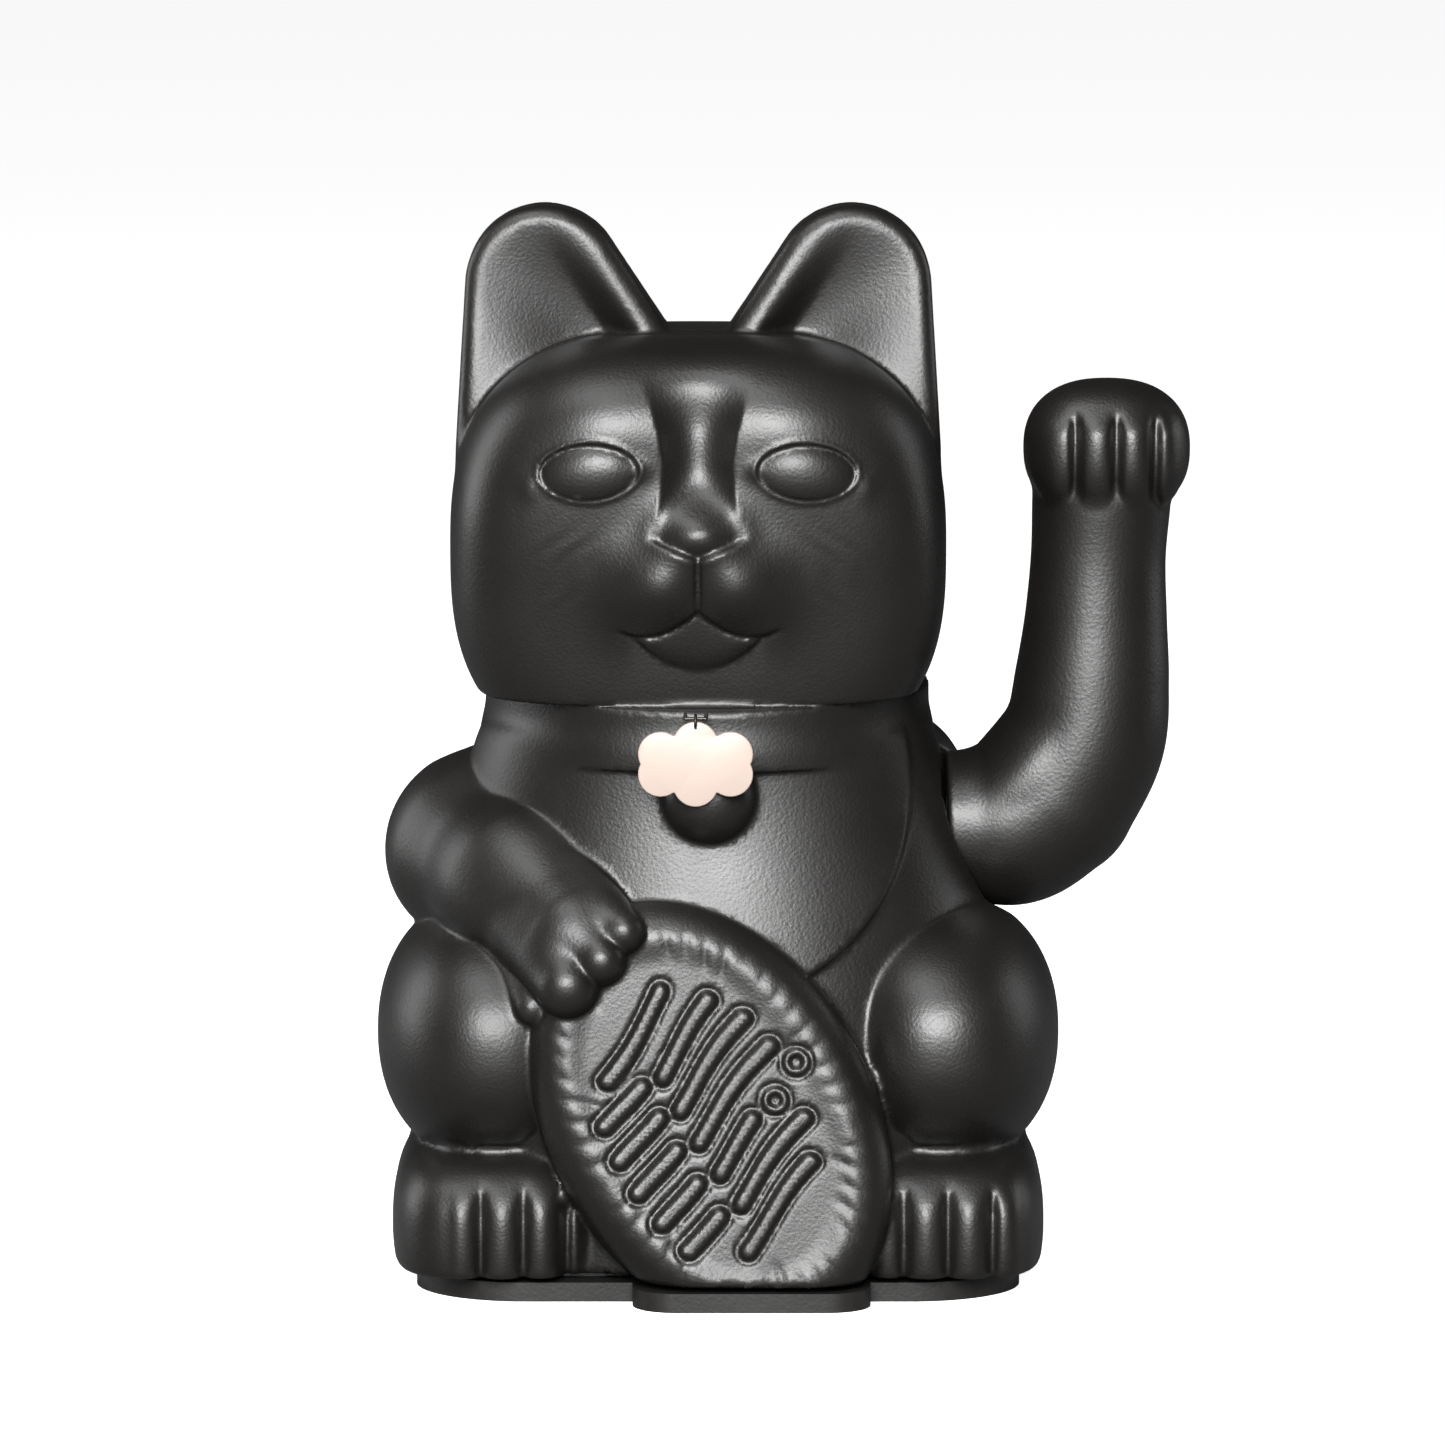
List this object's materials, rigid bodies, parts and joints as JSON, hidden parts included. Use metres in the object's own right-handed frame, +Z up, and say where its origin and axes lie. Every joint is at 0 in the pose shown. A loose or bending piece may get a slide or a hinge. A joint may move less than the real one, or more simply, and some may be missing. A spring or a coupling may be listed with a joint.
{
  "type": "beckoning cat figurine",
  "caption": "Seated moulded cat figurine holding a tilted oval coin, with a raised arm that rocks on an inner magnet pendulum, a collar tag and a battery base.",
  "frame": {"origin": "centre of the base plate's flat underside, on the table", "axes": "+Z up; the cat faces -Y; +X is to the right as one looks at its face, towards its raised arm"},
  "size_m": [0.1109, 0.0852, 0.1451],
  "materials": {
    "cat_plastic": "satin, very fine leathery grain",
    "base_plastic": "satin",
    "works_plastic": "moulded, natural",
    "steel": "turned",
    "ferrite": "ground",
    "bronze": "sintered",
    "copper_wire": "enamelled",
    "board_green": "solder mask",
    "chip_black": "moulded",
    "can_blue": "sleeve",
    "cell_case": "printed sleeve",
    "spring_steel": "nickel plated",
    "lead_insulation": "soft",
    "charm_cream": "enamel",
    "charm_metal": "blackened"
  },
  "bodies": {
    "cat": {"front_shell": "cat_plastic", "rear_shell": "cat_plastic", "base_plate": "base_plastic", "axle_bushes": "bronze", "bracket": "works_plastic", "bracket_screws": "steel", "coil_bobbin": "works_plastic", "coil_winding": "copper_wire", "coil_core": "ferrite", "circuit_board": "board_green", "board_transistor": "chip_black", "board_capacitor": "can_blue", "battery_cell": "cell_case", "contact_spring": "spring_steel", "contact_plate": "spring_steel", "battery_leads": "lead_insulation", "base_screws": "steel", "charm_staple": "charm_metal"},
    "arm": {"arm_front": "cat_plastic", "arm_rear": "cat_plastic", "arm_hub": "works_plastic", "axle": "steel", "axle_clip": "spring_steel", "pendulum_lever": "works_plastic", "pendulum_magnet": "ferrite", "pendulum_weight": "steel"},
    "door": {"battery_door": "base_plastic"},
    "charm": {"charm_tag": "charm_cream", "charm_ring": "charm_metal"}
  },
  "joints": [
    {"name": "arm_swing", "type": "hinge", "parent": "cat", "child": "arm", "pos_m": [0.0314, 0, 0.06], "axis": [1, 0, 0], "range_deg": [-25, 25]},
    {"name": "door_slide", "type": "slide", "parent": "cat", "child": "door", "axis": [0, 1, 0], "range_m": [0, 0.02]},
    {"name": "charm_swing", "type": "hinge", "parent": "cat", "child": "charm", "pos_m": [-0.003, -0.0359, 0.0791], "axis": [-1, 0, 0], "range_deg": [0, 60]}
  ]
}
